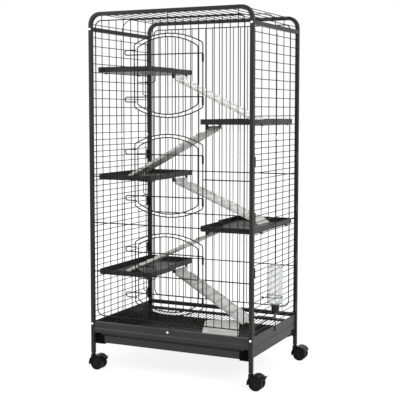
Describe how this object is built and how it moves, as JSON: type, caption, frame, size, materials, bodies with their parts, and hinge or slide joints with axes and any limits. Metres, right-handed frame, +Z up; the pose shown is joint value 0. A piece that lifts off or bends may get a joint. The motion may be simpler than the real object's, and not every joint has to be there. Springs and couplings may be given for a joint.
{
  "type": "small animal cage",
  "caption": "Tall wire cage on swivel casters with arched doors, hanging platforms joined by ramps, a floor grate, a pull-out tray and a water bottle.",
  "frame": {"origin": "on the floor, under the middle of the four posts", "axes": "+X to the right along the front, +Y to the back, +Z up"},
  "size_m": [0.7012, 0.486, 1.304],
  "materials": {
    "powder_coat": "fine textured powder coat",
    "black_plastic": "satin grain",
    "pale_plastic": "milky, slightly translucent",
    "zinc": "bright zinc",
    "steel": "polished",
    "clear_plastic": "clear",
    "black_gloss": "gloss",
    "caster_plastic": "satin",
    "caster_wheel": "satin"
  },
  "bodies": {
    "cage": {"front_frame": "powder_coat", "back_frame": "powder_coat", "left_top_rail": "powder_coat", "right_top_rail": "powder_coat", "front_base_rail": "powder_coat", "back_base_rail": "powder_coat", "grate_ledges": "powder_coat", "left_base_panel": "powder_coat", "right_base_panel": "powder_coat", "tray_runners": "powder_coat", "frame_screws": "zinc", "caster_stems": "zinc", "front_panel": "powder_coat", "back_panel": "powder_coat", "left_upper_side_panel": "powder_coat", "right_upper_side_panel": "powder_coat", "left_lower_side_panel": "powder_coat", "right_lower_side_panel": "powder_coat", "roof_panel": "powder_coat", "side_clips": "black_plastic", "floor_grate": "powder_coat", "platform_1": "black_plastic", "platform_2": "black_plastic", "platform_3": "black_plastic", "platform_4": "black_plastic", "platform_5": "black_plastic", "ramp_1": "pale_plastic", "ramp_2": "pale_plastic", "ramp_3": "pale_plastic", "ramp_4": "pale_plastic", "ramp_5": "pale_plastic", "landing_mat": "pale_plastic", "bottle_body": "clear_plastic", "bottle_cap": "black_gloss", "bottle_spout": "steel", "bottle_holder": "powder_coat"},
    "door_1": {"door_1": "powder_coat", "door_1_hinges": "powder_coat"},
    "latch_1": {"latch_1": "powder_coat"},
    "door_2": {"door_2": "powder_coat", "door_2_hinges": "powder_coat"},
    "latch_2": {"latch_2": "powder_coat"},
    "door_3": {"door_3": "powder_coat", "door_3_hinges": "powder_coat"},
    "latch_3": {"latch_3": "powder_coat"},
    "tray": {"slide_tray": "powder_coat"},
    "caster_fl": {"caster_hood_fl": "caster_plastic", "caster_axle_fl": "steel"},
    "wheels_fl": {"caster_wheels_fl": "caster_wheel"},
    "brake_fl": {"brake_lever_fl": "caster_plastic"},
    "caster_fr": {"caster_hood_fr": "caster_plastic", "caster_axle_fr": "steel"},
    "wheels_fr": {"caster_wheels_fr": "caster_wheel"},
    "brake_fr": {"brake_lever_fr": "caster_plastic"},
    "caster_bl": {"caster_hood_bl": "caster_plastic", "caster_axle_bl": "steel"},
    "wheels_bl": {"caster_wheels_bl": "caster_wheel"},
    "caster_br": {"caster_hood_br": "caster_plastic", "caster_axle_br": "steel"},
    "wheels_br": {"caster_wheels_br": "caster_wheel"}
  },
  "joints": [
    {"name": "door_1_hinge", "type": "hinge", "parent": "cage", "child": "door_1", "pos_m": [0.1324, -0.221, 1.073], "axis": [0, 0, 1], "range_deg": [0, 155]},
    {"name": "latch_1_slide", "type": "slide", "parent": "door_1", "child": "latch_1", "axis": [-1, 0, 0], "range_m": [0, 0.018]},
    {"name": "door_2_hinge", "type": "hinge", "parent": "cage", "child": "door_2", "pos_m": [0.1324, -0.221, 0.723], "axis": [0, 0, 1], "range_deg": [0, 155]},
    {"name": "latch_2_slide", "type": "slide", "parent": "door_2", "child": "latch_2", "axis": [-1, 0, 0], "range_m": [0, 0.018]},
    {"name": "door_3_hinge", "type": "hinge", "parent": "cage", "child": "door_3", "pos_m": [0.1324, -0.221, 0.373], "axis": [0, 0, 1], "range_deg": [0, 155]},
    {"name": "latch_3_slide", "type": "slide", "parent": "door_3", "child": "latch_3", "axis": [-1, 0, 0], "range_m": [0, 0.018]},
    {"name": "tray_slide", "type": "slide", "parent": "cage", "child": "tray", "axis": [0, -1, 0], "range_m": [0, 0.38]},
    {"name": "caster_fl_swivel", "type": "hinge", "parent": "cage", "child": "caster_fl", "pos_m": [-0.315, -0.221, 0.05], "axis": [0, 0, 1], "continuous": true},
    {"name": "wheels_fl_spin", "type": "hinge", "parent": "caster_fl", "child": "wheels_fl", "pos_m": [-0.293, -0.221, 0.025], "axis": [0, 1, 0], "continuous": true},
    {"name": "brake_fl_press", "type": "hinge", "parent": "caster_fl", "child": "brake_fl", "pos_m": [-0.27372, -0.221, 0.04798], "axis": [0, 1, 0], "range_deg": [0, 15]},
    {"name": "caster_fr_swivel", "type": "hinge", "parent": "cage", "child": "caster_fr", "pos_m": [0.315, -0.221, 0.05], "axis": [0, 0, 1], "continuous": true},
    {"name": "wheels_fr_spin", "type": "hinge", "parent": "caster_fr", "child": "wheels_fr", "pos_m": [0.337, -0.221, 0.025], "axis": [0, 1, 0], "continuous": true},
    {"name": "brake_fr_press", "type": "hinge", "parent": "caster_fr", "child": "brake_fr", "pos_m": [0.35628, -0.221, 0.04798], "axis": [0, 1, 0], "range_deg": [0, 15]},
    {"name": "caster_bl_swivel", "type": "hinge", "parent": "cage", "child": "caster_bl", "pos_m": [-0.315, 0.221, 0.05], "axis": [0, 0, 1], "continuous": true},
    {"name": "wheels_bl_spin", "type": "hinge", "parent": "caster_bl", "child": "wheels_bl", "pos_m": [-0.293, 0.221, 0.025], "axis": [0, 1, 0], "continuous": true},
    {"name": "caster_br_swivel", "type": "hinge", "parent": "cage", "child": "caster_br", "pos_m": [0.315, 0.221, 0.05], "axis": [0, 0, 1], "continuous": true},
    {"name": "wheels_br_spin", "type": "hinge", "parent": "caster_br", "child": "wheels_br", "pos_m": [0.337, 0.221, 0.025], "axis": [0, 1, 0], "continuous": true}
  ]
}
